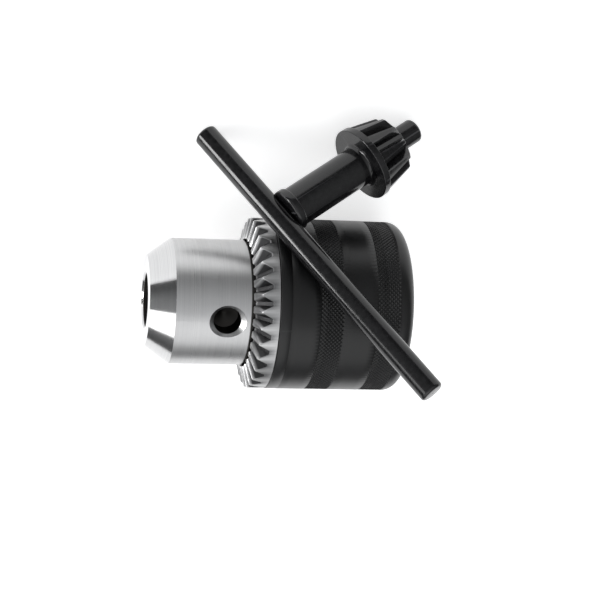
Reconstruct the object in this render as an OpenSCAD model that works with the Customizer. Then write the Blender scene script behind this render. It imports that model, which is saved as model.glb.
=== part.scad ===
// Keyed 13 mm drill chuck with a ball thrust bearing, lying on its side, and its key.
// The chuck's axis is X, its nose points to -X and its spindle thread opens to +X.
// The origin is the centre of the rear face. Stations run along the axis from the nose face.

/* [Chuck] */
// Length from the nose face to the rear face
chuck_length = 64.5; // [64:0.5:70]
// Diameter of the black grip sleeve
sleeve_d = 43; // [43:0.1:43.4]
// Diameter of the cylinder behind the nose cone
nose_d = 31.4; // [31:0.1:31.5]
// Diameter of the nose face
nose_face_d = 22.8; // [20:0.2:26]
// Length of the nose cone
cone_length = 5.9; // [4:0.1:8]
// Turn of the body about the chuck's axis, which places the pilot holes and the jaws
body_roll = 164.7; // [0:0.1:360]

/* [Spindle thread] */
// Major diameter of the 1/2-20 UNF spindle thread
thread_d = 12.7; // [12:0.1:13]
// Depth of the spindle thread from the rear face
thread_depth = 17; // [12:0.5:17]

/* [Jaws] */
// Diameter of a jaw
jaw_d = 10; // [9.6:0.1:10]
// Angle between a jaw and the chuck's axis
jaw_angle = 15; // [14.8:0.1:15.2]
// Distance from the chuck's axis to an open jaw's grip face
open_grip_r = 6.5; // [6.4:0.1:6.6]
// Lead of the thread on the jaws
jaw_lead = 2.5; // [2:0.1:2.8]

/* [Gear ring] */
// Number of teeth on the gear ring
ring_teeth = 32; // [28:1:32]
// Diameter of the gear ring's rim
ring_d = 42.8; // [42.6:0.1:42.9]
// Station where the pilot holes cross the axis
pilot_station = 18.7; // [18.5:0.1:18.9]

/* [Thrust bearing] */
// Number of balls
ball_count = 20; // [12:1:24]
// Diameter of a ball
ball_d = 2.5; // [2.3:0.1:2.6]

/* [Key] */
// Number of teeth on the key's pinion
key_teeth = 11; // [10:1:12]
// Diameter of the cross bar
bar_d = 6; // [5.8:0.1:6.2]
// Length of the cross bar's short arm, from the shank's axis
bar_short = 29.4; // [20:0.2:32]
// Length of the cross bar's long arm, from the shank's axis
bar_long = 57.6; // [50:0.2:60]
// Diameter of the key's shank
shank_d = 10.1; // [9.5:0.1:10.5]
// Diameter of the key's flange
flange_d = 19.2; // [19:0.1:19.6]
// Diameter of the key's pilot
pilot_d = 6.2; // [6:0.1:6.3]
// Station where the cross bar meets the shank
key_station = 30.1; // [28:0.1:31]
// Slope of the shank, downwards to the pinion
key_slope = 27.7; // [27:0.1:28]
// Heading of the shank, from the chuck's axis
key_heading = 22.7; // [22:0.1:24]
// Turn of the cross bar about the shank
key_turn = -146.6; // [-146.7:0.1:-146.3]

/* [Hidden] */
$fn = 96;

steel = [0.72, 0.73, 0.75];
bright_steel = [0.82, 0.83, 0.85];
bearing_steel = [0.6, 0.61, 0.63];
phosphate = [0.07, 0.07, 0.075];
oxide = [0.1, 0.1, 0.105];

overlap = 1;
pad = 0.02;

// Radii that everything else fits round
sleeve_r = sleeve_d / 2;
nose_r = nose_d / 2;
ring_r = ring_d / 2;
sleeve_bore = 20;
tool_bore = 6.75;
screw_r = 3.1;
hub_r = 17;

// Jaws: a jaw's axis starts this far from the chuck's axis at the nose face
jaw_start_r = 0.4;
jaw_r = jaw_d / 2;
jaw_slope = tan(jaw_angle);
jaw_outer_start = jaw_start_r + jaw_r / cos(jaw_angle);
jaw_tip = 10;
jaw_rear = 53;
jaw_reach = 19.5;
jaw_thread_depth = 1;
jaw_thread_start = 28;
jaw_land = 0.75;
bore_clearance = 0.05;
function jaw_outer(station) = jaw_outer_start + jaw_slope * station;

// Relief in the body under the gear ring, and the groove for the nut and the bearing
relief_front = 24.15;
relief_depth = 0.4;
groove_front = 27.3;
nut_front = 27.5;
nut_rear = 34.5;
nut_r = 17.5;
nut_clearance = 0.3;
groove_depth = 1.9;
seat_r = 16.1;
race_inner = 16.4;
race_outer = 19.5;
race_thick = 0.9;
race_gap = ball_d + 0.1;
ball_path_r = 18;
cage_thick = 1.2;
cage_inner = 16.5;
flange_front = nut_rear + 2 * race_thick + race_gap;
flange_thick = 2.9;
flange_r = 19.4;
mid_r = 16.5;
rear_flange_front = 56;
rear_flange_rear = chuck_length - 3;
rear_flange_r = 19.7;
tool_bore_end = 42;
thread_end = chuck_length - thread_depth;

// Gear ring: stations of the teeth's tips and of the gaps' floors, at the bore and at the rim
ring_inner = 16.05;
ring_rear = 30.4;
tip_front = 24.65;
tip_rim = 25.85;
root_front = 25.15;
root_rim = 28.5;
root_slope = atan((root_rim - root_front) / (ring_r - ring_inner));
root_land = 0.9;
tooth_angle = 35;
ring_turn = 0.75;
skirt_r = sleeve_bore - pad;

// Pilot holes for the key
pilot_hole_r = 3.4;
pilot_mouth_r = 4.6;
pilot_floor = 9.3;
pilot_point = 1.6;

// Sleeve
lip_rear = 33.3;
lip_groove = 0.15;
sleeve_rear = chuck_length - 0.3;
corner_r = 3.5;
sleeve_lip_r = hub_r + 0.3;
sleeve_wall_rear = 2.4;

// Key: distances run along the shank from the cross bar's axis
bar_r = bar_d / 2;
shank_r = shank_d / 2;
key_flange_r = flange_d / 2;
pilot_r = pilot_d / 2;
collar_r = shank_r + 0.5;
collar_front = 2.4;
collar_rear = 4.7;
flange_back = 26;
pinion_start = 27.8;
pinion_end = 36.3;
pinion_nose = 38.4;
pilot_end = 44.2;
pinion_base_r = 9.35;
pinion_tip_r = 7.5;
pinion_nose_r = 3.9;
key_apex = pinion_nose + nose_r + 0.1;
key_root_slope = 15.5;
key_root_land = 0.9;
key_tooth_angle = 26;
pinion_turn = -10.5;
rest_gap = 0.1;
lean_gap = 0.35;

// The key lies with its low end on the floor and its cross bar against the sleeve.
// Shank and bar are unit vectors, and a rim at distance t with radius r dips r * rim_dip lower.
shank = [cos(key_slope) * cos(key_heading), cos(key_slope) * sin(key_heading), -sin(key_slope)];
side = [-sin(key_heading), cos(key_heading), 0];
bar = cos(key_turn) * cross(side, shank) + sin(key_turn) * side;
rim_dip = cos(key_slope);
lowest = max(
  pinion_end * sin(key_slope) + pinion_tip_r * rim_dip,
  pinion_start * sin(key_slope) + key_flange_r * rim_dip,
  pilot_end * sin(key_slope) + (pilot_r - 0.8) * rim_dip,
  bar_short * bar[2] + bar_r * norm([bar[0], bar[1]])
);
key_z = -sleeve_r + rest_gap + lowest;
bar_flat = norm([bar[1], bar[2]]);
key_y = ((sleeve_r + bar_r + lean_gap) * bar_flat + key_z * bar[1]) / bar[2];
key_x = key_station - chuck_length;

// Turns a shape drawn along Z from the nose face onto the chuck's axis
module on_axis() {
  translate([-chuck_length, 0, 0])
    rotate([0, 90, 0])
      children();
}

// Same, with the body's own turn, so that pilot hole 1 lies along local X
module on_body() {
  on_axis()
    rotate([0, 0, body_roll])
      children();
}

// Places a shape drawn about Z along the axis of jaw number i
module on_jaw(i) {
  rotate([0, 0, 60 + 120 * (i - 1)])
    translate([jaw_start_r, 0, 0])
      rotate([0, jaw_angle, 0])
        children();
}

module on_key() {
  translate([key_x, key_y, key_z])
    rotate([0, 90 + key_slope, key_heading])
      rotate([0, 0, key_turn])
        children();
}

// A plain ring about Z between two stations
module ring(inner, outer, front, rear) {
  translate([0, 0, front])
    difference() {
      cylinder(r = outer, h = rear - front);
      translate([0, 0, -overlap])
        cylinder(r = inner, h = rear - front + 2 * overlap);
    }
}

module body_profile() {
  mouth = 0.5;
  edge = 0.6;
  floor_front = jaw_outer(groove_front) - groove_depth;
  floor_rear = jaw_outer(nut_rear) - groove_depth;
  polygon([
    [tool_bore + mouth, 0],
    [nose_face_d / 2, 0],
    [nose_r, cone_length],
    [nose_r, relief_front],
    [nose_r - relief_depth, relief_front],
    [nose_r - relief_depth, groove_front],
    [floor_front, groove_front],
    [floor_rear, nut_rear + 0.2],
    [seat_r, nut_rear + 0.2],
    [seat_r, flange_front],
    [flange_r, flange_front],
    [flange_r, flange_front + flange_thick],
    [mid_r, flange_front + flange_thick],
    [mid_r, rear_flange_front],
    [rear_flange_r, rear_flange_front],
    [rear_flange_r, rear_flange_rear],
    [hub_r, rear_flange_rear],
    [hub_r, chuck_length - edge],
    [hub_r - edge, chuck_length],
    [thread_d / 2, chuck_length],
    [thread_d / 2, thread_end],
    [screw_r, thread_end],
    [screw_r, tool_bore_end],
    [tool_bore, tool_bore_end],
    [tool_bore, mouth]
  ]);
}

// One blind pilot hole with a conical mouth and a drill's conical bottom, along local X
module pilot_hole() {
  mouth_depth = pilot_mouth_r - pilot_hole_r;
  translate([0, 0, pilot_station])
    rotate([0, 90, 0]) {
      translate([0, 0, pilot_floor])
        cylinder(r = pilot_hole_r, h = nose_r - pilot_floor + overlap);
      translate([0, 0, pilot_floor - pilot_point])
        cylinder(r1 = 0, r2 = pilot_hole_r, h = pilot_point);
      translate([0, 0, nose_r - mouth_depth])
        cylinder(r1 = pilot_hole_r, r2 = pilot_mouth_r + overlap, h = mouth_depth + overlap);
    }
}

module chuck_body() {
  color(steel)
    on_body()
      difference() {
        rotate_extrude()
          body_profile();
        for (i = [1:3])
          on_jaw(i)
            translate([0, 0, -2 * overlap])
              cylinder(r = jaw_r + bore_clearance, h = jaw_rear / cos(jaw_angle) + 4.1);
        for (i = [0:2])
          rotate([0, 0, 120 * i])
            pilot_hole();
      }
}

// The space a jaw may fill, so that three jaws close on a point without touching
module jaw_wedge() {
  side_gap = 0.17;
  apex = open_grip_r - jaw_land + side_gap;
  reach = 2 * jaw_reach;
  flat = (open_grip_r - apex) * tan(60);
  translate([0, 0, jaw_tip])
    linear_extrude(height = jaw_rear - jaw_tip)
      polygon([
        [open_grip_r, -flat],
        [open_grip_r, flat],
        [reach, (reach - apex) * tan(60)],
        [reach, -(reach - apex) * tan(60)]
      ]);
}

// One thread groove about the chuck's axis, cut from the jaw's outer line
module jaw_groove(station) {
  root = jaw_outer(station) - jaw_thread_depth;
  half = jaw_lead * 0.42;
  top = root + 3;
  rotate_extrude()
    polygon([
      [root, station - 0.2],
      [top, station - half - 1],
      [top, station + half + 1],
      [root, station + 0.2]
    ]);
}

module jaw(i) {
  first = jaw_thread_start + jaw_lead * (i - 1) / 3;
  color(bearing_steel)
    on_body()
      difference() {
        intersection() {
          on_jaw(i)
            cylinder(r = jaw_r, h = 2 * jaw_rear);
          rotate([0, 0, 60 + 120 * (i - 1)])
            jaw_wedge();
          cylinder(r = jaw_reach, h = 2 * jaw_rear);
        }
        for (station = [first:jaw_lead:jaw_rear - 1])
          jaw_groove(station);
      }
}

// The nut's bore follows the jaws' outer line, with rings of thread cut outwards
module nut_profile() {
  groove = 0.9;
  count = floor((nut_rear - nut_front) / jaw_lead);
  difference() {
    polygon([
      [jaw_outer(nut_front) + nut_clearance, nut_front],
      [nut_r, nut_front],
      [nut_r, nut_rear],
      [jaw_outer(nut_rear) + nut_clearance, nut_rear]
    ]);
    for (k = [1:count]) {
      station = nut_front + (k - 0.5) * jaw_lead;
      base = jaw_outer(station) + nut_clearance;
      polygon([
        [base - 0.5, station - 0.9],
        [base + groove, station - 0.15],
        [base + groove, station + 0.15],
        [base - 0.5, station + 0.9]
      ]);
    }
  }
}

module nut_half(start) {
  split = 0.2;
  color(bearing_steel)
    on_axis()
      rotate([0, 0, start + split])
        rotate_extrude(angle = 180 - 2 * split)
          nut_profile();
}

// A V-shaped gap between two ring teeth, which deepens from the bore to the rim
module ring_tooth_gap() {
  depth = 5;
  spread = root_land / 2 + depth * tan(tooth_angle);
  translate([0, 0, root_front - ring_inner * tan(root_slope)])
    rotate([0, 90 - root_slope, 0])
      translate([0, 0, ring_inner - 3])
        linear_extrude(height = ring_r)
          polygon([
            [0, -root_land / 2],
            [0, root_land / 2],
            [depth, spread],
            [depth, -spread]
          ]);
}

module gear_ring() {
  rim_edge = 0.3;
  color(bright_steel)
    on_axis()
      difference() {
        rotate_extrude()
          polygon([
            [ring_inner, tip_front],
            [ring_r - rim_edge, tip_rim],
            [ring_r, tip_rim + rim_edge],
            [ring_r, ring_rear],
            [skirt_r, ring_rear],
            [skirt_r, nut_rear],
            [nut_r + pad, nut_rear],
            [nut_r + pad, groove_front],
            [ring_inner, groove_front]
          ]);
        for (k = [0:ring_teeth - 1])
          rotate([0, 0, 360 / ring_teeth * k + ring_turn])
            ring_tooth_gap();
      }
}

module grip_sleeve() {
  front = ring_rear + pad;
  corner = sleeve_rear - corner_r;
  arc_points = [
    for (a = [0:15:90])
      [sleeve_r - corner_r + corner_r * cos(a), corner + corner_r * sin(a)]
  ];
  color(phosphate)
    on_axis()
      rotate_extrude()
        polygon(concat(
          [
            [sleeve_bore, front],
            [sleeve_r - 0.15, front],
            [sleeve_r, front + 0.15],
            [sleeve_r, lip_rear - lip_groove],
            [sleeve_r - lip_groove, lip_rear],
            [sleeve_r, lip_rear + lip_groove]
          ],
          arc_points,
          [
            [sleeve_lip_r, sleeve_rear],
            [sleeve_lip_r, sleeve_rear - sleeve_wall_rear],
            [sleeve_bore, sleeve_rear - sleeve_wall_rear]
          ]
        ));
}

module nut_race() {
  color(bearing_steel)
    on_axis()
      ring(race_inner, race_outer, nut_rear, nut_rear + race_thick);
}

module body_race() {
  color(bearing_steel)
    on_axis()
      ring(race_inner, race_outer, flange_front - race_thick, flange_front);
}

ball_station = nut_rear + race_thick + race_gap / 2;

module ball_cage() {
  pocket_r = ball_d / 2 + bore_clearance;
  color(steel)
    on_axis()
      difference() {
        ring(cage_inner, race_outer, ball_station - cage_thick / 2, ball_station + cage_thick / 2);
        for (i = [1:ball_count])
          rotate([0, 0, 360 / ball_count * i])
            translate([ball_path_r, 0, ball_station - cage_thick])
              cylinder(r = pocket_r, h = 2 * cage_thick);
      }
}

module ball(i) {
  color(bright_steel)
    on_axis()
      rotate([0, 0, 360 / ball_count * i])
        translate([ball_path_r, 0, ball_station])
          sphere(r = ball_d / 2);
}

// A V-shaped gap between two pinion teeth, its floor along the line to the pinion's apex
module key_tooth_gap() {
  depth = 4.5;
  spread = key_root_land / 2 + depth * tan(key_tooth_angle);
  near = (key_apex - pinion_nose - 0.8) / cos(key_root_slope);
  far = (key_apex - pinion_start) / cos(key_root_slope);
  translate([0, 0, key_apex])
    rotate([0, 180 - key_root_slope, 0])
      translate([0, 0, near])
        linear_extrude(height = far - near)
          polygon([
            [0, -key_root_land / 2],
            [0, key_root_land / 2],
            [-depth, spread],
            [-depth, -spread]
          ]);
}

module shank_profile() {
  edge = 0.6;
  flange_edge = 0.35;
  pilot_edge = 0.8;
  polygon([
    [0, collar_front],
    [collar_r - edge, collar_front],
    [collar_r, collar_front + edge],
    [collar_r, collar_rear - edge],
    [collar_r - edge / 2, collar_rear],
    [shank_r, collar_rear],
    [shank_r, flange_back],
    [key_flange_r - flange_edge, flange_back],
    [key_flange_r, flange_back + flange_edge],
    [key_flange_r, pinion_start - flange_edge / 2],
    [key_flange_r - flange_edge / 2, pinion_start],
    [pinion_base_r, pinion_start],
    [pinion_tip_r, pinion_end],
    [pinion_nose_r, pinion_nose],
    [pilot_r, pinion_nose],
    [pilot_r, pilot_end - pilot_edge],
    [pilot_r - pilot_edge, pilot_end],
    [0, pilot_end]
  ]);
}

module key_shank() {
  color(oxide)
    on_key()
      difference() {
        rotate_extrude()
          shank_profile();
        for (k = [0:key_teeth - 1])
          rotate([0, 0, 360 / key_teeth * k + pinion_turn])
            key_tooth_gap();
        rotate([0, 90, 0])
          cylinder(r = bar_r + pad, h = 5 * bar_r, center = true);
      }
}

module key_crossbar() {
  edge = 0.7;
  color(oxide)
    on_key()
      rotate([0, 90, 0])
        rotate_extrude()
          polygon([
            [0, -bar_short],
            [bar_r - edge, -bar_short],
            [bar_r, edge - bar_short],
            [bar_r, bar_long - edge],
            [bar_r - edge, bar_long],
            [0, bar_long]
          ]);
}

chuck_body();
jaw(1);  // jaw_1
jaw(2);  // jaw_2
jaw(3);  // jaw_3
nut_half(0);  // nut_half_a
nut_half(180);  // nut_half_b
gear_ring();
grip_sleeve();
nut_race();
body_race();
ball_cage();
for (i = [1:ball_count]) {
  ball(i);
}
key_shank();
key_crossbar();
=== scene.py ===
"""Looks for a keyed drill chuck and its key: turned, ground and blackened steel on a white floor."""

import math

import bmesh
import bpy
from mathutils import Matrix, Vector


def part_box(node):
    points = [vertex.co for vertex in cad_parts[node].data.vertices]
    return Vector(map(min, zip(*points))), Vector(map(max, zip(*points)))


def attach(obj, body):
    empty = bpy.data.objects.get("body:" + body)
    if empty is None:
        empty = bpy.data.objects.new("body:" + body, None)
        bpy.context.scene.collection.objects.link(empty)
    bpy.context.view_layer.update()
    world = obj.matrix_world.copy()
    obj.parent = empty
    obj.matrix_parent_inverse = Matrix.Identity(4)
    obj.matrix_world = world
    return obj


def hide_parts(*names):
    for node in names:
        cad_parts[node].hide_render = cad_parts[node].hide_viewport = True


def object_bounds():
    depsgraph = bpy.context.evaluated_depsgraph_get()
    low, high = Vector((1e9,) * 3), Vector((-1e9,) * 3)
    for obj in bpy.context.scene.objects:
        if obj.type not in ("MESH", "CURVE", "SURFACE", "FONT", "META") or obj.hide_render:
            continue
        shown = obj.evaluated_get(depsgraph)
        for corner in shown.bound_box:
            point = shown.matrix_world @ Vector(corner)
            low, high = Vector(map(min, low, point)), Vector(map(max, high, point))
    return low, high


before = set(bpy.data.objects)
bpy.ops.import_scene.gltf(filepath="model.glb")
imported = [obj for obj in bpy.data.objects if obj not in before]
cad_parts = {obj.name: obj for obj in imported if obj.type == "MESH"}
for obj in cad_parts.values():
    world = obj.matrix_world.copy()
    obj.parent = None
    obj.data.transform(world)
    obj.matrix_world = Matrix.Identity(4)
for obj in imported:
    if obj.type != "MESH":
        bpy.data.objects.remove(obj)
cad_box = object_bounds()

MM = 0.001
MERGE_DISTANCE = 1e-7

# ---------------------------------------------------------------- places, all in millimetres


def span(node, axis):
    """A node's lowest and highest place along an axis, in millimetres."""
    low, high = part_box(node)
    return low[axis] / MM, high[axis] / MM


CHUCK_LENGTH = span("chuck_body", 0)[1] - span("chuck_body", 0)[0]
SLEEVE_R = (span("grip_sleeve", 1)[1] - span("grip_sleeve", 1)[0]) / 2
SLEEVE_FRONT = span("grip_sleeve", 0)[0] + CHUCK_LENGTH
SLEEVE_REAR = span("grip_sleeve", 0)[1] + CHUCK_LENGTH
RING_R = (span("gear_ring", 1)[1] - span("gear_ring", 1)[0]) / 2
RING_SKIRT_REAR = span("gear_ring", 0)[1] + CHUCK_LENGTH
FLOOR_Z = cad_box[0][2]

# The chuck's stations run from the nose face, like the CAD part's
CONE_LENGTH = 5.9
PILOT_MOUTH_FLOOR_R = 14.5
TOOL_BORE_R = 6.75
RELIEF_FRONT = 24.35
RELIEF_REAR = 55.0
RING_REAR = 30.4
RING_BORE = 16.05
RING_POCKET_R = 17.52
RING_POCKET_FRONT = 27.3
RING_SKIRT_R = 19.98
RING_TEETH = 32
RING_TURN = math.radians(-0.75)
TIP_FRONT = 24.65
TIP_RIM = 25.85
ROOT_FRONT = 25.15
ROOT_RIM = 28.5
TIP_LEAN = (TIP_RIM - TIP_FRONT) / (RING_R - RING_BORE)
ROOT_SLOPE = math.atan((ROOT_RIM - ROOT_FRONT) / (RING_R - RING_BORE))
RING_ROOT_LAND = 0.9
RING_TOOTH_ANGLE = math.radians(35)
RING_BORE_CHAMFER = 0.12
RING_RIM_CHAMFER = 0.22
RING_REAR_CHAMFER = 0.2
RING_RADIAL_STEPS = 6

SLEEVE_BORE = 20.0
SLEEVE_LIP_R = 17.3
SLEEVE_WALL_REAR = 2.4
LIP_REAR = 33.3
CORNER_R = 3.5
KNURL_BANDS = ((40.2, 46.3), (54.3, 60.4))
KNURL_COUNT = 132
KNURL_DEPTH = 0.34
KNURL_STEPS = 6
KNURL_FLAT = 0.84
KNURL_RUN_OUT = 0.3

THREAD_PITCH = 1.27
THREAD_MAJOR_R = 6.35
THREAD_HEIGHT = 0.6
THREAD_START = 48.3

# The key's distances run along its shank from the cross bar's axis
KEY_SLOPE = math.radians(27.7)
KEY_HEADING = math.radians(22.7)
KEY_TURN = math.radians(-146.6)
KEY_TEETH = 11
KEY_APEX = 54.2
KEY_ROOT_SLOPE = math.radians(15.5)
KEY_ROOT_LAND = 0.9
KEY_TOOTH_ANGLE = math.radians(26)
PINION_TURN = math.radians(-10.5)
BAR_R = 3.0
BAR_SHORT = 29.4
BAR_LONG = 57.6
COLLAR_FRONT = 2.4
COLLAR_REAR = 4.7
COLLAR_R = 5.55
SHANK_R = 5.05
FLANGE_BACK = 26.0
FLANGE_R = 9.6
PINION_START = 27.8
PINION_BASE_R = 9.35
PINION_END = 36.3
PINION_TIP_R = 7.5
PINION_NOSE = 38.4
PINION_NOSE_R = 3.9
PILOT_R = 3.1
PILOT_END = 44.2
TOOTH_ROUNDING = 0.12

# The shank's end fits round the cross bar: the bar's hollow, and the radii of the mesh's rings there
SADDLE_R = 3.02
SADDLE_RADII = (0.3, 1.2, 2.0, 2.7, 3.4, 4.2)

# The camera looks at a point near the chuck's axis; its angles are in degrees
CAMERA_TARGET = Vector((-25.2, 1.17, 0))
CAMERA_AZIMUTH = 110.99
CAMERA_ELEVATION = 54.75
CAMERA_ROLL = 164.09
CAMERA_DISTANCE = 417.44
CAMERA_LENS = 99.0


# ---------------------------------------------------------------- mesh helpers


def place_on_chuck(radius, angle, station):
    """A point at a radius and angle round the chuck's axis, at a station from the nose face."""
    return (
        (station - CHUCK_LENGTH) * MM,
        radius * math.sin(angle) * MM,
        radius * math.cos(angle) * MM,
    )


def rounded(corners, steps):
    """A closed outline from (radius, station, rounding) corners; rounding 0 keeps a corner sharp."""
    out = []
    points = [Vector(corner[:2]) for corner in corners]
    for i, (here, (_, _, radius)) in enumerate(zip(points, corners)):
        if radius == 0:
            out.append((here.x, here.y))
            continue
        before = (points[i - 1] - here).normalized()
        after = (points[(i + 1) % len(points)] - here).normalized()
        half = before.angle(after) / 2
        cut = radius / math.tan(half)
        middle = here + (before + after).normalized() * (radius / math.sin(half))
        start = here + before * cut - middle
        turn = start.angle_signed(here + after * cut - middle)
        for k in range(steps + 1):
            spoke = start.copy()
            spoke.rotate(Matrix.Rotation(-turn * k / steps, 2))
            out.append((middle.x + spoke.x, middle.y + spoke.y))
    return out


def mesh_object(name, vertices, faces, sharp):
    """A mesh object, smooth except at edges sharper than an angle, with its faces turned outwards."""
    mesh = bpy.data.meshes.new(name)
    mesh.from_pydata(vertices, [], faces)
    mesh.validate()
    obj = bpy.data.objects.new(name, mesh)
    bpy.context.scene.collection.objects.link(obj)
    work = bmesh.new()
    work.from_mesh(mesh)
    bmesh.ops.remove_doubles(work, verts=work.verts, dist=MERGE_DISTANCE)
    bmesh.ops.recalc_face_normals(work, faces=work.faces)
    for face in work.faces:
        face.smooth = True
    for edge in work.edges:
        edge.smooth = len(edge.link_faces) == 2 and edge.calc_face_angle() < math.radians(sharp)
    work.to_mesh(mesh)
    work.free()
    weighted = obj.modifiers.new("even_faces", "WEIGHTED_NORMAL")
    weighted.keep_sharp = True
    return obj


def grid_faces(columns, rows, closed_rows):
    """Quads between neighbouring columns that go round, and between rows, closed or open."""
    last = rows if closed_rows else rows - 1
    faces = []
    for c in range(columns):
        right = (c + 1) % columns
        for r in range(last):
            up = (r + 1) % rows
            faces.append((c * rows + r, right * rows + r, right * rows + up, c * rows + up))
    return faces


def subdivided(low, high, count):
    """The places that cut a stretch into a number of equal parts, without its ends."""
    return [low + (high - low) * k / count for k in range(1, count)]


def edge_by_halving(inside, high):
    """The place between 0 and a limit where a test stops being true, found by halving."""
    low = 0.0
    for _ in range(40):
        middle = (low + high) / 2
        if inside(middle):
            low = middle
        else:
            high = middle
    return low


# ---------------------------------------------------------------- gear ring


def gap_height(across, land, half_angle):
    """Height of a V-shaped gap's wall above its floor, at a distance across it."""
    return max(0.0, abs(across) - land / 2) / math.tan(half_angle)


def ring_tip(radius):
    """Station of a tooth's tip."""
    return TIP_FRONT + TIP_LEAN * (radius - RING_BORE)


def ring_gap(radius, angle):
    """Station of a gap's floor or wall, at an angle from the gap's middle."""
    height = gap_height(radius * math.sin(angle), RING_ROOT_LAND, RING_TOOTH_ANGLE)
    run = (radius * math.cos(angle) - RING_BORE) * math.tan(ROOT_SLOPE)
    return ROOT_FRONT + run - height / math.cos(ROOT_SLOPE)


def ring_tooth_edge(radius):
    """The angle from a gap's middle at which its wall reaches the tooth's tip."""
    return edge_by_halving(lambda angle: ring_gap(radius, angle) > ring_tip(radius), math.pi / RING_TEETH)


def ring_column_angles(radius):
    """Angles of the mesh's columns over one tooth pitch, with a narrow chamfer at each tip edge."""
    pitch = 2 * math.pi / RING_TEETH
    edge = ring_tooth_edge(radius)
    floor_edge = math.asin(RING_ROOT_LAND / 2 / radius)
    soft = min(TOOTH_ROUNDING / radius, (pitch / 2 - edge) / 2)
    half = [0.0, floor_edge, (floor_edge + edge) / 2, edge - soft, edge + soft]
    return half + [pitch / 2] + [pitch - a for a in reversed(half[1:])]


def ring_front(radius, angle):
    """Station of the toothed face; angle is counted from the nearest gap's middle."""
    return max(ring_tip(radius), ring_gap(radius, angle))


def build_gear_ring():
    pitch = 2 * math.pi / RING_TEETH
    soft_bore = RING_BORE + RING_BORE_CHAMFER
    soft_rim = RING_R - RING_RIM_CHAMFER
    radii = [RING_BORE, soft_bore] + subdivided(soft_bore, soft_rim, RING_RADIAL_STEPS) + [soft_rim]
    drops = [RING_BORE_CHAMFER] + [0.0] * (len(radii) - 1)
    rear = [
        (RING_R, RING_REAR - RING_REAR_CHAMFER),
        (RING_R - RING_REAR_CHAMFER, RING_REAR),
        (RING_SKIRT_R, RING_REAR),
        (RING_SKIRT_R, RING_SKIRT_REAR),
        (RING_POCKET_R, RING_SKIRT_REAR),
        (RING_POCKET_R, RING_POCKET_FRONT),
        (RING_BORE, RING_POCKET_FRONT),
    ]
    angles = {radius: ring_column_angles(radius) for radius in [*radii, RING_R]}
    vertices = []
    columns = 0
    for tooth in range(RING_TEETH):
        turn = tooth * pitch + RING_TURN
        for c, rim_angle in enumerate(angles[RING_R]):
            columns += 1
            for radius, drop in zip(radii + [RING_R], drops + [RING_RIM_CHAMFER]):
                angle = angles[radius][c]
                front = ring_front(radius, min(angle, pitch - angle)) + drop
                vertices.append(place_on_chuck(radius, angle + turn, front))
            for radius, station in rear:
                vertices.append(place_on_chuck(radius, rim_angle + turn, station))
    rows = len(vertices) // columns
    return mesh_object("gear_ring_toothed", vertices, grid_faces(columns, rows, True), sharp=24)


# ---------------------------------------------------------------- knurled sleeve


def saw(phase):
    """0 at whole numbers and 1 halfway between them."""
    return 1 - abs(2 * (phase % 1) - 1)


def knurl_cut(angle, station, start, end):
    """Depth of the diamond knurl, which runs out at the band's ends."""
    along = (station - start) / (2 * math.pi * SLEEVE_R / KNURL_COUNT)
    around = KNURL_COUNT * angle / (2 * math.pi)
    peak = min(saw(around + along), saw(around - along), KNURL_FLAT) / KNURL_FLAT
    edge = min(1.0, (station - start) / KNURL_RUN_OUT, (end - station) / KNURL_RUN_OUT)
    return KNURL_DEPTH * (1 - peak) * max(0.0, edge)


def lip_outline():
    """The sleeve's narrow front band, with a rounded front edge and a groove behind it."""
    edge, sink = 0.22, 0.03
    middle_sink, middle_run = 0.09, 0.07
    groove_sink, groove_half = 0.16, 0.08
    return [
        (SLEEVE_BORE, SLEEVE_FRONT),
        (SLEEVE_R - edge, SLEEVE_FRONT),
        (SLEEVE_R - middle_sink, SLEEVE_FRONT + middle_run),
        (SLEEVE_R - sink, SLEEVE_FRONT + edge),
        (SLEEVE_R - sink, LIP_REAR - groove_sink - groove_half),
        (SLEEVE_R - groove_sink, LIP_REAR - groove_half),
        (SLEEVE_R - groove_sink, LIP_REAR + groove_half),
        (SLEEVE_R, LIP_REAR + edge),
    ]


def grip_outline(corner):
    """The sleeve's outside from the groove to its rounded corner, with fine rows in the knurls."""
    step = 2 * math.pi * SLEEVE_R / KNURL_COUNT / KNURL_STEPS
    plain_rows = 4
    stations = []
    plain_start = lip_outline()[-1][1]
    for start, end in KNURL_BANDS:
        stations += subdivided(plain_start, start, plain_rows) + [start]
        stations += subdivided(start, end, round((end - start) / step)) + [end]
        plain_start = end
    stations += subdivided(plain_start, corner, plain_rows)
    return [(SLEEVE_R, station) for station in stations]


def sleeve_rear_outline(corner):
    """The rounded rear corner, the rear wall's rounded lip and the wall's inside."""
    steps = 12
    lip_edge = 0.15
    centre = SLEEVE_R - CORNER_R
    outline = []
    for k in range(steps + 1):
        turn = math.pi / 2 * k / steps
        outline.append((centre + CORNER_R * math.cos(turn), corner + CORNER_R * math.sin(turn)))
    outline += [(SLEEVE_LIP_R + lip_edge, SLEEVE_REAR), (SLEEVE_LIP_R, SLEEVE_REAR - lip_edge)]
    outline += [(SLEEVE_LIP_R, SLEEVE_REAR - SLEEVE_WALL_REAR)]
    return outline + [(SLEEVE_BORE, SLEEVE_REAR - SLEEVE_WALL_REAR)]


def build_sleeve():
    corner = SLEEVE_REAR - CORNER_R
    outline = lip_outline() + grip_outline(corner) + sleeve_rear_outline(corner)
    columns = KNURL_COUNT * KNURL_STEPS
    vertices = []
    for c in range(columns):
        angle = 2 * math.pi * c / columns
        for radius, station in outline:
            cut = 0.0
            for start, end in KNURL_BANDS:
                if radius == SLEEVE_R and start < station < end:
                    cut = knurl_cut(angle, station, start, end)
            vertices.append(place_on_chuck(radius - cut, angle, station))
    faces = grid_faces(columns, len(outline), True)
    return mesh_object("grip_sleeve_knurled", vertices, faces, sharp=50)


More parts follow.
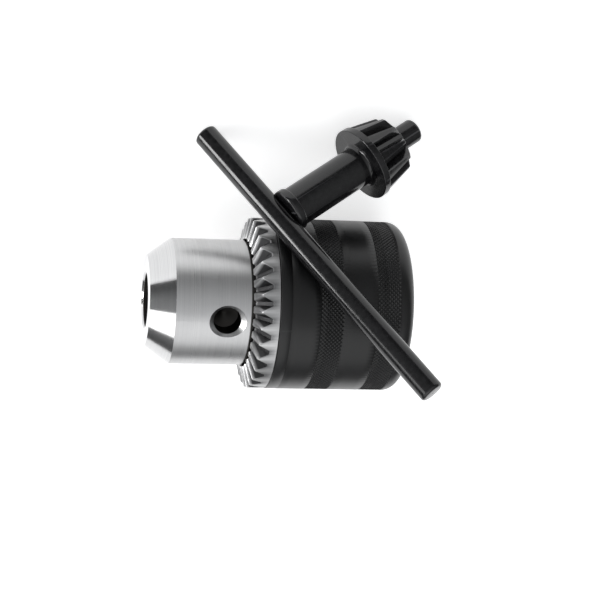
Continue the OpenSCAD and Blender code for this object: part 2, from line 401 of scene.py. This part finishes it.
# ---------------------------------------------------------------- spindle thread


def build_spindle_thread():
    """The ridges of the spindle thread, one helix from the mouth to the bore's floor."""
    per_turn = 72
    fade_in, fade_out = 20, 40
    sunk = 0.06
    crest_half, crest_drop = 0.08, 0.08
    half = THREAD_PITCH * 0.42
    turns = (CHUCK_LENGTH - THREAD_HEIGHT - THREAD_START) / THREAD_PITCH
    count = int(per_turn * turns)
    section = [
        (sunk, -half),
        (crest_drop - THREAD_HEIGHT, -crest_half),
        (-THREAD_HEIGHT, 0.0),
        (crest_drop - THREAD_HEIGHT, crest_half),
        (sunk, half),
    ]
    vertices = []
    for k in range(count):
        angle = 2 * math.pi * k / per_turn
        station = THREAD_START + THREAD_PITCH * k / per_turn
        fade = min(1.0, k / fade_in, (count - 1 - k) / fade_out)
        for rise, along in section:
            radius = THREAD_MAJOR_R + (rise * fade if rise < 0 else rise)
            vertices.append(place_on_chuck(radius, -angle, station + along))
    size = len(section)
    faces = []
    for k in range(count - 1):
        for r in range(size):
            up = (r + 1) % size
            faces.append((k * size + r, (k + 1) * size + r, (k + 1) * size + up, k * size + up))
    faces.append(tuple(range(size)))
    faces.append(tuple((count - 1) * size + r for r in range(size)))
    return mesh_object("spindle_thread_ridges", vertices, faces, sharp=60)


# ---------------------------------------------------------------- key


def key_frame():
    """The key's own frame: the cross bar along X, the shank along Z, the origin where they meet."""
    slope, heading, turn = KEY_SLOPE, KEY_HEADING, KEY_TURN
    level = math.cos(slope)
    shank = Vector((level * math.cos(heading), level * math.sin(heading), -math.sin(slope)))
    side = Vector((-math.sin(heading), math.cos(heading), 0))
    bar = math.cos(turn) * side.cross(shank) + math.sin(turn) * side
    low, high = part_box("key_crossbar")
    bar_middle = (Vector(low) + Vector(high)) / 2
    origin = bar_middle - bar * ((BAR_LONG - BAR_SHORT) / 2 * MM)
    axes = Matrix((bar, shank.cross(bar), shank)).transposed().to_4x4()
    return Matrix.Translation(origin) @ axes


KEY_FRAME = key_frame()


def place_on_shank(radius, angle, distance):
    """A point at a radius and angle round the shank, at a distance along it."""
    point = Vector((radius * math.cos(angle), radius * math.sin(angle), distance)) * MM
    return tuple(KEY_FRAME @ point)


def place_on_bar(radius, angle, distance):
    """A point at a radius and angle round the cross bar, at a distance along it."""
    point = Vector((distance, radius * math.cos(angle), radius * math.sin(angle))) * MM
    return tuple(KEY_FRAME @ point)


def key_gap_radius(distance, angle):
    """Radius of a pinion gap's floor or wall at an angle from the gap's middle."""
    root = (KEY_APEX - distance) * math.tan(KEY_ROOT_SLOPE)
    floor = root / math.cos(angle)
    lean = math.cos(KEY_ROOT_SLOPE) * math.tan(KEY_TOOTH_ANGLE)
    opening = math.cos(angle) * lean - math.sin(angle)
    if opening <= 0:
        return math.inf
    if floor * math.sin(angle) <= KEY_ROOT_LAND / 2:
        return floor
    return max(floor, (root * lean - KEY_ROOT_LAND / 2) / opening)


def pinion_blank(distance):
    """Radius of the uncut pinion."""
    if distance <= PINION_END:
        share = (distance - PINION_START) / (PINION_END - PINION_START)
        return PINION_BASE_R + (PINION_TIP_R - PINION_BASE_R) * share
    share = (distance - PINION_END) / (PINION_NOSE - PINION_END)
    return PINION_TIP_R + (PINION_NOSE_R - PINION_TIP_R) * share


def key_tooth_edge(distance):
    """The angle from a gap's middle at which its wall reaches the blank."""
    blank = pinion_blank(distance)
    return edge_by_halving(lambda angle: key_gap_radius(distance, angle) < blank, math.pi / KEY_TEETH)


def key_column_angles(distance):
    """Angles of the mesh's columns over one tooth pitch; they stay in order where a gap runs out."""
    root = (KEY_APEX - distance) * math.tan(KEY_ROOT_SLOPE)
    floor_edge = math.asin(KEY_ROOT_LAND / 2 / root)
    soft = TOOTH_ROUNDING / pinion_blank(distance)
    edge = max(key_tooth_edge(distance), floor_edge + 3 * soft)
    half = [0.0, floor_edge * 0.75, floor_edge, floor_edge * 0.8 + edge * 0.2]
    half += [(floor_edge + edge) / 2, edge - soft, edge + soft]
    pitch = 2 * math.pi / KEY_TEETH
    crest = pitch / 2
    half.append((edge + soft + crest) / 2)
    return half + [crest] + [pitch - a for a in reversed(half[1:])]


def saddle(radius, angle):
    """Where the shank's end meets the cross bar, which it is joined to."""
    across = radius * math.sin(angle)
    if abs(across) >= SADDLE_R:
        return COLLAR_FRONT
    return max(COLLAR_FRONT, math.sqrt(SADDLE_R**2 - across**2))


def shank_outline():
    """(radius, distance) points of the collar, the shank and the flange."""
    corners = [
        (0, COLLAR_FRONT, 0),
        (COLLAR_R, COLLAR_FRONT, 0.8),
        (COLLAR_R, COLLAR_REAR, 0.42),
        (SHANK_R, COLLAR_REAR, 0.08),
        (SHANK_R, FLANGE_BACK, 1.0),
        (FLANGE_R, FLANGE_BACK, 0.28),
        (FLANGE_R, PINION_START, 0.12),
        (PINION_BASE_R, PINION_START, 0),
    ]
    return rounded(corners, 5)[1:]


def pilot_outline():
    """(radius, distance) points of the pilot."""
    corners = [(PILOT_R, PINION_NOSE, 0), (PILOT_R, PILOT_END, 0.9), (0, PILOT_END, 0)]
    return rounded(corners, 4)[:-1]


def pinion_cuts():
    """Distances of the mesh's rows along the pinion, close together at its end and its nose."""
    start = PINION_START + 0.08
    before_end, after_end = PINION_END - 0.15, PINION_END + 0.12
    nose_edge = PINION_NOSE - 0.1
    cuts = [start] + subdivided(start, before_end, 5) + [before_end]
    cuts += [after_end] + subdivided(after_end, nose_edge, 5)
    return cuts + [nose_edge, PINION_NOSE]


def key_column(even_angle, number, turn):
    """One column of (radius, angle, distance) points from the cross bar to the pilot's end."""
    pitch = 2 * math.pi / KEY_TEETH
    nose_chamfer = 0.1
    angle = even_angle + turn
    column = [(radius, angle, saddle(radius, angle)) for radius in SADDLE_RADII]
    for radius, distance in shank_outline():
        on_end = distance < COLLAR_FRONT + 0.01
        column.append((radius, angle, saddle(radius, angle) if on_end else distance))
    for distance in pinion_cuts():
        cut_angle = key_column_angles(distance)[number]
        blank = pinion_blank(distance) - (nose_chamfer if distance == PINION_NOSE else 0.0)
        radius = min(blank, key_gap_radius(distance, min(cut_angle, pitch - cut_angle)))
        column.append((radius, cut_angle + turn, distance))
    column += [(radius, angle, distance) for radius, distance in pilot_outline()]
    return column + [(SADDLE_RADII[0], angle, PILOT_END)]


def build_key_shank():
    pitch = 2 * math.pi / KEY_TEETH
    columns = []
    for tooth in range(KEY_TEETH):
        turn = tooth * pitch + PINION_TURN
        for number, even_angle in enumerate(key_column_angles(PINION_END)):
            columns.append(key_column(even_angle, number, turn))
    vertices = [place_on_shank(*point) for column in columns for point in column]
    size = len(columns[0])
    faces = grid_faces(len(columns), size, False)
    faces.append(tuple(c * size for c in range(len(columns))))
    faces.append(tuple(c * size + size - 1 for c in range(len(columns))))
    return mesh_object("key_shank_and_pinion", vertices, faces, sharp=34)


def build_key_bar():
    middle_r, rounding, segments = 0.2, 0.75, 96
    corners = [
        (middle_r, -BAR_SHORT, 0),
        (BAR_R, -BAR_SHORT, rounding),
        (BAR_R, BAR_LONG, rounding),
        (middle_r, BAR_LONG, 0),
    ]
    outline = rounded(corners, 5)
    vertices = []
    for c in range(segments):
        angle = 2 * math.pi * c / segments
        vertices += [place_on_bar(radius, angle, distance) for radius, distance in outline]
    return mesh_object("key_bar_rod", vertices, grid_faces(segments, len(outline), True), sharp=50)


# ---------------------------------------------------------------- materials


def grey(tone, blue=0.0):
    """A colour that is nearly neutral, with a little added to its blue."""
    return (tone, tone, tone + blue)


def set_range(node, low, high, to_low, to_high):
    for socket, number in (("From Min", low), ("From Max", high), ("To Min", to_low), ("To Max", to_high)):
        node.inputs[socket].default_value = number


class Shader:
    """One material's node tree, with short ways to add and join nodes."""

    # A Mix node's sockets for colours and for plain numbers, and the half width of a mask's edge
    COLOUR_SOCKETS = (6, 7)
    COLOUR_RESULT = 2
    NUMBER_SOCKETS = (2, 3)
    NUMBER_RESULT = 0
    MASK_EDGE = 0.05

    def __init__(self, name, **values):
        self.material = bpy.data.materials.new(name)
        self.material.use_nodes = True
        self.tree = self.material.node_tree
        self.surface = self.tree.nodes["Principled BSDF"]
        for socket, value in values.items():
            self.surface.inputs[socket.replace("_", " ")].default_value = value

    def add(self, kind, **settings):
        node = self.tree.nodes.new(kind)
        for key, value in settings.items():
            setattr(node, key, value)
        return node

    def join(self, output, node, socket):
        self.tree.links.new(output, node.inputs[socket])

    def place(self, scale):
        """Object coordinates, multiplied along each axis."""
        mapping = self.add("ShaderNodeMapping")
        mapping.inputs["Scale"].default_value = scale
        self.join(self.add("ShaderNodeTexCoord").outputs["Object"], mapping, "Vector")
        return mapping.outputs["Vector"]

    def noise(self, scale, size=1.0, detail=4.0, rough=0.55):
        node = self.add("ShaderNodeTexNoise")
        node.inputs["Scale"].default_value = size
        node.inputs["Detail"].default_value = detail
        node.inputs["Roughness"].default_value = rough
        self.join(self.place(scale), node, "Vector")
        return node.outputs["Fac"]

    def ranged(self, value, low, high, to_low, to_high):
        """A value stretched from one range to another and kept inside it."""
        node = self.add("ShaderNodeMapRange")
        set_range(node, low, high, to_low, to_high)
        self.join(value, node, "Value")
        return node.outputs["Result"]

    def between(self, value, low, high):
        """0 below a range, 1 above it, and a slope inside it."""
        return self.ranged(value, low, high, 0.0, 1.0)

    def maths(self, operation, first, second):
        node = self.add("ShaderNodeMath", operation=operation)
        for i, value in enumerate((first, second)):
            if isinstance(value, (int, float)):
                node.inputs[i].default_value = value
            else:
                self.join(value, node, i)
        return node.outputs["Value"]

    def blend(self, factor, first, second):
        """A mix of two colours, each given as numbers or as another node's output."""
        node = self.add("ShaderNodeMix", data_type="RGBA")
        self.join(factor, node, "Factor")
        for index, value in zip(self.COLOUR_SOCKETS, (first, second)):
            if isinstance(value, tuple):
                node.inputs[index].default_value = (*value, 1)
            else:
                self.join(value, node, index)
        return node.outputs[self.COLOUR_RESULT]

    def number_blend(self, factor, first, second):
        node = self.add("ShaderNodeMix", data_type="FLOAT")
        self.join(factor, node, "Factor")
        for index, value in zip(self.NUMBER_SOCKETS, (first, second)):
            self.join(value, node, index)
        return node.outputs[self.NUMBER_RESULT]

    def axis_places(self):
        """A point's station and its distance from the chuck's axis, both in millimetres."""
        position = self.add("ShaderNodeSeparateXYZ")
        self.join(self.place((1 / MM, 1 / MM, 1 / MM)), position, "Vector")
        station = self.maths("ADD", position.outputs["X"], CHUCK_LENGTH)
        squares = [self.maths("POWER", position.outputs[axis], 2.0) for axis in ("Y", "Z")]
        return station, self.maths("POWER", self.maths("ADD", *squares), 0.5)

    def below(self, value, limit):
        """1 below a limit and 0 above it, with a narrow soft edge."""
        return self.ranged(value, limit - self.MASK_EDGE, limit + self.MASK_EDGE, 1.0, 0.0)

    def above(self, value, limit):
        return self.between(value, limit - self.MASK_EDGE, limit + self.MASK_EDGE)

    def colour(self, output):
        self.join(output, self.surface, "Base Color")

    def roughness(self, output):
        self.join(output, self.surface, "Roughness")

    def bump(self, height, strength, distance):
        """Fine relief, its depth in metres."""
        node = self.add("ShaderNodeBump")
        node.inputs["Strength"].default_value = strength
        node.inputs["Distance"].default_value = distance
        self.join(height, node, "Height")
        self.join(node.outputs["Normal"], self.surface, "Normal")

    def edges(self, low, high):
        """1 on raised edges, 0 elsewhere, from the mesh's pointiness."""
        geometry = self.add("ShaderNodeNewGeometry")
        return self.between(geometry.outputs["Pointiness"], low, high)

    def grain_round_axis(self):
        """Points the stretch of reflections round the chuck's axis, as a lathe leaves it."""
        tangent = self.add("ShaderNodeTangent", direction_type="RADIAL", axis="X")
        self.join(tangent.outputs["Tangent"], self.surface, "Tangent")


def turned_steel():
    """The body: a satin lathe finish, polished on the nose cone, with painted shade in its holes, its bore
    and the gap under the gear ring.
    """
    s = Shader("turned_steel", Metallic=1.0, Anisotropic=0.55)
    s.grain_round_axis()
    rings = s.noise((9000, 12, 12), detail=3.0)
    bands = s.noise((900, 3, 3), detail=2.0)
    smudges = s.noise((90, 90, 90), detail=5.0)
    along, radius = s.axis_places()

    tone = s.blend(s.between(rings, 0.35, 0.65), grey(0.50, 0.005), grey(0.59))
    smudged = (0.42, 0.415, 0.41)
    tone = s.blend(s.ranged(smudges, 0.55, 0.8, 0.0, 0.35), tone, smudged)

    # Painted shade: the pilot holes, the tool bore and the body under the gear ring are coloured
    # near-black, where shade falls
    behind_cone = s.above(along, CONE_LENGTH + 1)
    before_rear = s.below(along, CHUCK_LENGTH - 1)
    in_pilot_hole = s.maths("MULTIPLY", s.below(radius, PILOT_MOUTH_FLOOR_R), before_rear)
    in_pilot_hole = s.maths("MULTIPLY", in_pilot_hole, behind_cone)
    inside = s.maths("MAXIMUM", in_pilot_hole, s.below(radius, TOOL_BORE_R + 0.1))
    under_ring = s.maths("MULTIPLY", s.above(along, RELIEF_FRONT), s.below(along, RELIEF_REAR))
    inside = s.maths("MAXIMUM", inside, under_ring)
    # The near-black colour of the painted shade
    painted_shade_dark = (0.06, 0.057, 0.054)
    s.colour(s.blend(inside, tone, painted_shade_dark))

    satin = s.ranged(s.maths("ADD", rings, bands), 0.6, 1.4, 0.24, 0.36)
    polished = s.ranged(smudges, 0.3, 0.7, 0.06, 0.13)
    dull = s.ranged(smudges, 0.3, 0.7, 0.4, 0.55)
    finish = s.number_blend(s.above(along, CONE_LENGTH), polished, satin)
    s.roughness(s.number_blend(inside, finish, dull))
    s.bump(rings, 0.12, 0.00002)
    return s.material


def bright_steel():
    """The gear ring and the balls: machined steel, with painted highlights on the edges and painted shade
    in the gaps of the teeth.
    """
    s = Shader("bright_steel", Metallic=1.0, Anisotropic=0.2)
    s.grain_round_axis()
    scratches = s.noise((2500, 900, 900), detail=3.0)
    smudges = s.noise((260, 260, 260), detail=4.0)
    along, radius = s.axis_places()

    tone = s.blend(s.between(smudges, 0.35, 0.75), grey(0.46, 0.005), grey(0.37, 0.005))
    tip = s.maths("ADD", s.maths("MULTIPLY", radius, TIP_LEAN), TIP_FRONT - RING_BORE * TIP_LEAN)
    depth = s.maths("SUBTRACT", along, tip)
    rim = RING_R - 0.12
    in_gap = s.maths("MULTIPLY", s.ranged(depth, 0.1, 0.8, 0.0, 0.94), s.below(radius, rim))
    # Painted shade: the gaps between the teeth turn near-black, darker the deeper they go
    tone = s.blend(in_gap, tone, grey(0.03, 0.001))
    tone = s.blend(s.above(radius, rim), tone, grey(0.22, 0.003))
    # Painted highlight: raised edges are coloured near-white, standing in for glints on the edges
    tone = s.blend(s.edges(0.53, 0.60), tone, grey(0.9))
    s.colour(tone)

    s.roughness(s.ranged(s.maths("ADD", scratches, smudges), 0.6, 1.4, 0.34, 0.48))
    s.bump(scratches, 0.1, 0.00002)
    return s.material


def ground_steel(name, tone, rough):
    """Hidden steel pieces: ground, with a film of oil."""
    s = Shader(name, Metallic=1.0)
    grain = s.noise((5000, 700, 700), detail=3.0)
    stain = s.noise((150, 150, 150), detail=5.0)
    stained = tuple(0.6 * c for c in tone)
    s.colour(s.blend(s.ranged(stain, 0.4, 0.8, 0.0, 0.8), tone, stained))
    s.roughness(s.ranged(grain, 0.3, 0.7, rough - 0.08, rough + 0.1))
    s.bump(grain, 0.1, 0.00002)
    return s.material


def black_phosphate():
    """The sleeve: satin black over turned and knurled steel, a little rubbed on raised edges."""
    s = Shader("black_phosphate", Specular_IOR_Level=0.45, Metallic=0.0)
    speckle = s.noise((5200, 5200, 5200), detail=2.0)
    rings = s.noise((6000, 40, 40), detail=2.0)
    patches = s.noise((120, 120, 120), detail=4.0)
    tone = s.blend(s.between(patches, 0.3, 0.75), grey(0.003, 0.0002), grey(0.006, 0.0005))
    rubbed = s.ranged(s.edges(0.52, 0.62), 0.0, 1.0, 0.0, 0.4)
    s.colour(s.blend(rubbed, tone, grey(0.035, 0.002)))
    s.roughness(s.ranged(s.maths("ADD", patches, speckle), 0.6, 1.4, 0.30, 0.40))
    s.bump(s.maths("ADD", s.maths("MULTIPLY", rings, 0.5), speckle), 0.08, 0.00002)
    return s.material


def black_oxide():
    """The key: oiled black oxide over rolled and forged steel, mottled and rubbed on its edges."""
    s = Shader("black_oxide", Specular_IOR_Level=0.5, Metallic=0.0)
    mottle = s.noise((900, 900, 900), detail=6.0, rough=0.65)
    patches = s.noise((95, 95, 95), detail=4.0)
    pits = s.noise((3000, 3000, 3000), detail=2.0)
    tone = s.blend(s.between(mottle, 0.4, 0.75), grey(0.004, 0.0005), grey(0.014, 0.001))
    rubbed = s.ranged(s.edges(0.52, 0.6), 0.0, 1.0, 0.0, 0.6)
    s.colour(s.blend(rubbed, tone, grey(0.10, 0.005)))
    s.roughness(s.ranged(s.maths("ADD", mottle, patches), 0.7, 1.3, 0.10, 0.22))
    s.bump(s.maths("ADD", mottle, s.maths("MULTIPLY", pits, 0.4)), 0.10, 0.00003)
    return s.material


def give(obj, material):
    """Puts one material on every slot of an object."""
    obj.data.materials.clear()
    obj.data.materials.append(material)


def give_node(name, material):
    """Puts one material on every slot of a CAD node."""
    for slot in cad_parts[name].material_slots:
        slot.material = material


# ---------------------------------------------------------------- stage, lights and camera

LIGHT_TARGET = Vector((-0.03, 0.0, 0.0))


def build_floor():
    """A plain white floor just below the object, which gives off a little light of its own."""
    size = 3.0
    gap = 0.02 * MM
    glow = 0.64
    bpy.ops.mesh.primitive_plane_add(size=size, location=(0, 0, FLOOR_Z - gap))
    floor = bpy.context.object
    floor.name = "floor"
    s = Shader("floor_white", Specular_IOR_Level=0.2, Emission_Color=(1, 1, 1, 1), Emission_Strength=glow)
    grain = s.noise((300, 300, 300), detail=2.0)
    s.colour(s.blend(grain, grey(0.88), grey(0.90)))
    s.roughness(s.ranged(grain, 0.3, 0.7, 0.6, 0.7))
    floor.data.materials.append(s.material)


def area_light(name, place, width, height, power):
    """A rectangular light, in metres and watts, turned to the middle of the chuck."""
    data = bpy.data.lights.new(name, "AREA")
    data.shape = "RECTANGLE"
    data.size = width
    data.size_y = height
    data.energy = power
    light = bpy.data.objects.new(name, data)
    light.location = place
    aim = LIGHT_TARGET - Vector(place)
    light.rotation_euler = aim.to_track_quat("-Z", "Y").to_euler()
    bpy.context.scene.collection.objects.link(light)


def build_lights():
    """A broad softbox above, two strips at the nose's side, and a dome that is brighter overhead."""
    area_light("softbox_above", (-0.03, -0.3, 0.6), 0.9, 0.7, 1.35)
    area_light("strip_nose_side", (-0.437, -0.148, 0.25), 0.29, 0.15, 0.38)
    area_light("strip_low", (-0.515, 0.005, 0.108), 0.22, 0.1, 0.85)
    world = bpy.data.worlds.new("studio")
    world.use_nodes = True
    tree = world.node_tree
    sky = tree.nodes["Background"]
    sky.inputs["Color"].default_value = (0.97, 0.985, 1.0, 1)
    direction = tree.nodes.new("ShaderNodeSeparateXYZ")
    tree.links.new(tree.nodes.new("ShaderNodeTexCoord").outputs["Generated"], direction.inputs["Vector"])
    brightness = tree.nodes.new("ShaderNodeMapRange")
    set_range(brightness, 0.15, 0.95, 0.12, 0.66)
    tree.links.new(direction.outputs["Z"], brightness.inputs["Value"])
    tree.links.new(brightness.outputs["Result"], sky.inputs["Strength"])
    bpy.context.scene.world = world
    bpy.context.scene.view_settings.view_transform = "Standard"


def build_camera():
    """The camera looks down on the chuck, rolled so that the nose is on the left."""
    data = bpy.data.cameras.new("camera")
    data.lens = CAMERA_LENS
    data.sensor_width = 36.0
    camera = bpy.data.objects.new("camera", data)
    turn = Matrix.Rotation(math.radians(CAMERA_AZIMUTH + 90), 4, "Z")
    tilt = Matrix.Rotation(math.radians(90 - CAMERA_ELEVATION), 4, "X")
    roll = Matrix.Rotation(math.radians(CAMERA_ROLL), 4, "Z")
    back_off = Matrix.Translation((0, 0, CAMERA_DISTANCE * MM))
    camera.matrix_world = Matrix.Translation(CAMERA_TARGET * MM) @ turn @ tilt @ roll @ back_off
    bpy.context.scene.collection.objects.link(camera)
    bpy.context.scene.camera = camera


# ---------------------------------------------------------------- the object

steel = turned_steel()
bright = bright_steel()
hardened = ground_steel("hardened_steel", (0.42, 0.42, 0.43), 0.3)
pressed = ground_steel("cage_steel", (0.5, 0.49, 0.47), 0.36)
phosphate = black_phosphate()
oxide = black_oxide()

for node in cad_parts:
    if node.startswith("ball_") and node != "ball_cage":
        give_node(node, bright)
for node in ("jaw_1", "jaw_2", "jaw_3", "nut_half_a", "nut_half_b", "nut_race", "body_race"):
    give_node(node, hardened)
give_node("ball_cage", pressed)
give_node("chuck_body", steel)

PIECES = (
    (build_gear_ring, bright, "sleeve", "gear_ring", "bright_steel"),
    (build_sleeve, phosphate, "sleeve", "grip_sleeve", "black_phosphate"),
    (build_key_shank, oxide, "key", "key_shank", "black_oxide"),
    (build_key_bar, oxide, "key", "key_crossbar", "black_oxide"),
    (build_spindle_thread, steel, "chuck", None, "turned_steel"),
)
for build, material, body, node, slot in PIECES:
    piece = build()
    give(piece, material)
    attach(piece, body)
    if node:
        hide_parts(node)

build_floor()
build_lights()
build_camera()
